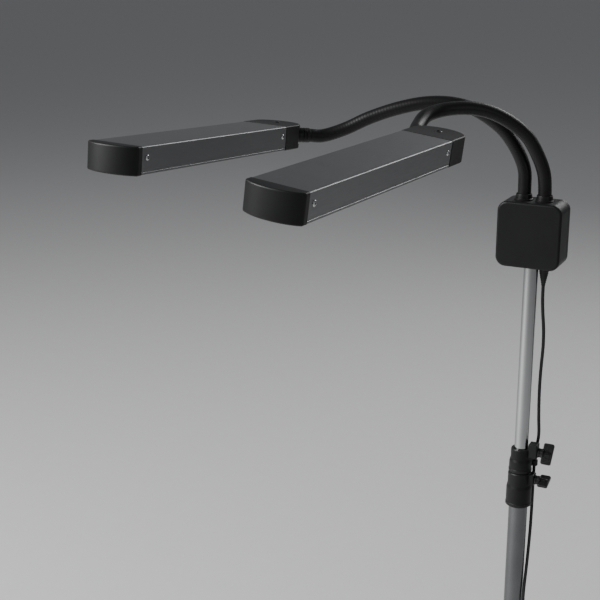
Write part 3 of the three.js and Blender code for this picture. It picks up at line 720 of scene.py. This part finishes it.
def make_neck(side, here):
    """one neck: three stretches of sleeve, each over one of its joints, then knuckle and gland"""
    spec = NECKS[side]
    turn = math.radians(spec["stub"])
    out = Vector((math.sin(turn), math.cos(turn), 0))
    centre = Vector((0, TURN_AT, -THICK / 2))
    lead = []
    for reach in (STUB_REACH + 18, STUB_REACH + 0.3):
        lead.append((here @ ((centre + out * reach) * MM) - POLE) / MM)
    path = smooth([*spec["points"], *lead], 1.0)
    count = len(path) - 1
    j1, j2, j3 = spec["joints"]
    bounds = (0, (j1 + j2) / 2, (j2 + j3) / 2, 1)
    pairs = (("lower", "middle", j1), ("middle", "upper", j2), ("upper", "tip", j3))
    stands = ((f"{side}_neck_lower", f"{side}_neck_middle"), (f"{side}_neck_upper",),
              (f"{side}_neck_tip",))

    def skin(s):
        return NECK_R - RIDGE + RIDGE * math.sin(s * 2 * math.pi / PITCH)

    for k, (a, b, share) in enumerate(pairs):
        first, last = round(bounds[k] * count), round(bounds[k + 1] * count)
        piece = raw(*sweep(path[first:last + 1], lambda s: skin(s + first), 32))
        dress(piece, f"{side}_neck_sleeve_{k + 1}", SLEEVE, None, stands[k], 40)
        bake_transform(piece)

    drum = solid([lathe([
        (0, -DRUM_HIGH / 2), (DRUM_R - 1, -DRUM_HIGH / 2), (DRUM_R, -DRUM_HIGH / 2 + 1),
        (DRUM_R, -3), (DRUM_R - 0.5, -2.5), (DRUM_R - 0.5, 2.5), (DRUM_R, 3),
        (DRUM_R, DRUM_HIGH / 2 - 1), (DRUM_R - 1, DRUM_HIGH / 2), (0, DRUM_HIGH / 2)], 80)],
        matrix=here @ Matrix.Translation(centre * MM))
    stub_frame = here @ Matrix.Translation(centre * MM) @ Matrix.Rotation(
        math.atan2(out.y, out.x), 4, "Z")
    r, reach = STUB_R, STUB_REACH
    stub = [(0, 8), (r - 0.4, 8), (r - 0.4, 30), (r, 31), (r, 35), (r - 0.5, 35.5), (r - 0.5, 36.5),
            (r, 37), (r, 39), (r - 0.5, 39.5), (r - 0.5, 40.5), (r, 41), (r, reach - 0.8),
            (r - 0.8, reach), (0, reach)]
    combine(drum, "UNION", [raw(*lathe(stub, 40, "X"), matrix=stub_frame)])
    dress(drum, f"{side}_knuckle_piece", PLASTIC, f"{side}_neck_tip",
          [f"{side}_knuckle"])

    x, y, _ = spec["points"][0]
    gland = lathe([
        (NECK_R + 0.35, TOP - 5), (10.9, TOP - 5), (10.9, TOP + 0.3), (12, TOP + 0.3),
        (12, TOP + 1.2), (11.7, TOP + 1.6), (11, TOP + 2.1), (10.8, TOP + 3), (10.3, TOP + 7.2),
        (10, TOP + 7.8), (9.7, TOP + 8), (NECK_R + 0.8, TOP + 8), (NECK_R + 0.8, TOP + 1)], 64,
        "Z", (x, y))
    dress(raw(*gland), f"{side}_neck_gland_piece", PLASTIC, "top_section",
          [f"{side}_neck_gland"])


for side in ("left", "right"):
    make_neck(side, make_head(side))
    board_slots = NODES[f"{side}_led_board"].data.materials
    board_slots.clear()
    board_slots.append(BOARD)

# ---- supply cord --------------------------------------------------------------------------
CORD_R = 2.25
CORD_UPPER = [
    (16.4, 4, 1001.7), (16.6, 4.3, 985), (17.8, 5, 965), (20, 6, 940), (20.3, 7, 915),
    (18.9, 8, 885), (18.2, 9.5, 850), (19, 11, 815), (20.1, 12.3, 787), (17.5, 13, 764),
    (16, 13, 745.2)]
CORD_LOWER = [
    (16, 13, 744.8), (16, 13, 716), (16.1, 12.8, 695), (16.3, 12.2, 676), (16.8, 9, 645),
    (16.7, 4.8, 610), (16.3, 1.8, 585), (15.9, -1.5, 562), (15.8, -3.4, 541), (16.4, 0, 518),
    (17, 8, 497), (16.2, 15.5, 479), (15.4, 20, 458), (15.2, 21.2, 425), (15.4, 21.2, 375),
    (15.6, 21, 320), (15.3, 21, 262), (15.5, 21.6, 208), (16.5, 23, 152), (19, 27, 98),
    (25, 35.5, 56), (36, 50, 26), (50, 68, 9), (65, 86, 2.9), (82, 103, 2.9), (96, 121, 2.9)]
COIL = Vector((81, 155.7, 0))
OUTER, INNER = 33.15, 19.05  # radii of the coil's outermost and innermost turns
ROWS = (2.9, 7.45, 12.0)
SWING_OUT, SWING_IN = 1.7, -0.6  # how far a turn that climbs a row swings clear of the others
POINT_EVERY = 12  # degrees round the coil


def coil_turns():
    """one winding: the bottom row inwards, up the inside, the top row outwards, down the outside
    to the middle row, where the cord leaves along +Y. Each entry: radius and height at a turn"""
    gap = (OUTER - INNER) / 3
    bottom = [(OUTER - gap * i, ROWS[0]) for i in range(4)]
    top = [(INNER + gap * i, ROWS[2]) for i in range(4)]
    return bottom + [(INNER, ROWS[1])] + top + [(OUTER, ROWS[1])]


def coil_path(enter):
    """from the angle where the cord meets the coil, in degrees, to the angle 0"""
    turns = coil_turns()
    final = 360 * (len(turns) - 1) + 360 - enter % 360
    out = []
    total = math.ceil(final / POINT_EVERY)
    for i in range(total + 1):
        turned = final * i / total
        share = turned / final * (len(turns) - 1)
        k = min(int(share), len(turns) - 2)
        f = share - k
        (r0, z0), (r1, z1) = turns[k], turns[k + 1]
        swing = SWING_OUT if r0 > (OUTER + INNER) / 2 else SWING_IN
        swell = 0 if z0 == z1 else swing * math.sin(math.pi * f)
        a = math.radians(enter + turned)
        r = r0 + (r1 - r0) * f + swell
        out.append(COIL + Vector((r * math.cos(a), r * math.sin(a), z0 + (z1 - z0) * f)))
    return out


upper = smooth(CORD_UPPER, 3.0)
cord = raw(*sweep(upper, CORD_R, 16))
dress(cord, "cord_upper_piece", CABLE, None, ["cord_upper"], 50)
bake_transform(cord)

heading = Vector((14, 18, 0)).normalized()
enter = math.degrees(math.atan2(-heading.x, heading.y))
wound = coil_path(enter)
PLUG_X, PLUG_Y, PLUG_Z = 114.15, 207.2, 6.85
PINS_X = (-9.5, 9.5)
after = [Vector((PLUG_X, COIL.y + y, 7.1)) for y in (6, 12, 18.8)]
run = evenly(smooth([*CORD_LOWER, *wound[1:], *after], 3.0), 3.0)
cord = raw(*sweep(run, CORD_R, 16))
dress(cord, "cord_lower_piece", CABLE, None, ["cord_lower", "cord_coil"], 50)
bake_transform(cord)

# plug: a flat two-pin body with a waist for the fingers, and its two half-sleeved pins
lying = Matrix.Translation(at(PLUG_X, PLUG_Y, PLUG_Z))


def plug_ring(y, half, thick, r):
    """the plug's section at y: its half width, half thickness and corner radius"""
    return [(u, y, v) for u, v in rounded(-half, half, -thick, thick, r, 6)]


rings = [plug_ring(y, half, thick, r) for y, half, thick, r in (
    (-18, 6, 4.4, 3), (-17.4, 8.5, 5.4, 4), (-15.5, 11.5, 6.2, 4.5), (-12, 14.2, 6.6, 4.5),
    (-8, 15.4, 6.7, 4.5), (-3, 15.4, 6.7, 4.5), (3, 15.8, 6.7, 4.5), (9, 16.9, 6.7, 4.5),
    (14, 17.4, 6.7, 4.5), (17, 17.4, 6.7, 4.5), (17.7, 17, 6.3, 4.2), (18, 16.2, 5.6, 3.8))]
shape = raw(*loft(rings), matrix=lying)
bush = [(0, -32.5), (2.6, -32.5)]
for i in range(4):
    low = -31.8 + 3.4 * i
    r = 2.95 + 0.35 * i
    bush += [(r - 0.3, low), (r, low + 0.4), (r + 0.1, low + 2.2), (r - 0.3, low + 2.7)]
bush += [(4.2, -17), (0, -17)]
combine(shape, "UNION", [raw(*lathe(bush, 32, "Y"), matrix=lying)])
sleeves = [lathe([(0, 17), (2, 17), (2, 27), (1.85, 27.2), (0, 27.2)], 24, "Y", (u, 0))
           for u in PINS_X]
combine(shape, "UNION", [raw(*p, matrix=lying) for p in sleeves])
plug = dress(shape, "plug_piece", RUBBER, "root", ["plug"])
for k, u in enumerate(PINS_X):
    tip = lathe([(0, 27.3), (1.9, 27.3), (1.95, 34.5), (1.6, 36.2), (0.9, 37), (0, 37)], 24, "Y",
                (u, 0))
    dress(raw(*tip, matrix=lying), f"plug_pin_{k + 1}", BRASS, "root")

# tie: a strap round the coil's bundle, on the side away from the plug
around = math.radians(200)
middle = COIL + Vector((math.cos(around), math.sin(around), 0)) * (OUTER + INNER) / 2
flat = Matrix.Translation(at(*middle)) @ Matrix.Rotation(around, 4, "Z")
band_outer = rounded(-10.6, 10.6, 0.1, 14.9, 4.5, 8)
band_inner = rounded(-9.9, 9.9, 0.6, 14.4, 4.0, 8)
band = loft([[(u, y, v) for u, v in line] for line, y in (
    (band_outer, -4.6), (band_outer, 4.6), (band_inner, 4.6), (band_inner, -4.6))], closed=True)
tie = dress(raw(*band, matrix=flat), "cord_tie", RUBBER, "root")

refined("cord_clip", PLASTIC, 0.4)

# ---- floor and light ----------------------------------------------------------------------
floor_mesh = bpy.data.meshes.new("floor")
floor_mesh.from_pydata([(-60, -60, 0), (60, -60, 0), (60, 60, 0), (-60, 60, 0)], [], [(0, 1, 2, 3)])
floor = bpy.data.objects.new("floor", floor_mesh)
bpy.context.scene.collection.objects.link(floor)
floor_mesh.materials.append(finish("floor_paint", (0.62, 0.62, 0.615), 0.7, mottle=0.01, fine=60,
                                   bump=0.02))

world = bpy.data.worlds.new("studio")
bpy.context.scene.world = world
world.use_nodes = True
world.node_tree.nodes["Background"].inputs["Color"].default_value = (0.93, 0.95, 1.0, 1)
world.node_tree.nodes["Background"].inputs["Strength"].default_value = 0.17


def softbox(name, place, target, size, power):
    """an area light at a place, turned to a target"""
    data = bpy.data.lights.new(name, "AREA")
    data.shape = "RECTANGLE"
    data.size, data.size_y = size
    data.energy = power
    obj = bpy.data.objects.new(name, data)
    bpy.context.scene.collection.objects.link(obj)
    obj.location = place
    obj.rotation_euler = (Vector(target) - Vector(place)).to_track_quat("-Z", "Y").to_euler()


softbox("key", place=(-2.7, -2.1, 2.7), target=(-0.1, -0.1, 0.9), size=(1.5, 2.4), power=270)
softbox("fill", place=(2.9, -1.6, 2.0), target=(0, 0, 0.9), size=(0.7, 2.2), power=10)
softbox("back", place=(0.8, 3.0, 2.8), target=(0, 0, 0.9), size=(2.4, 1.4), power=50)
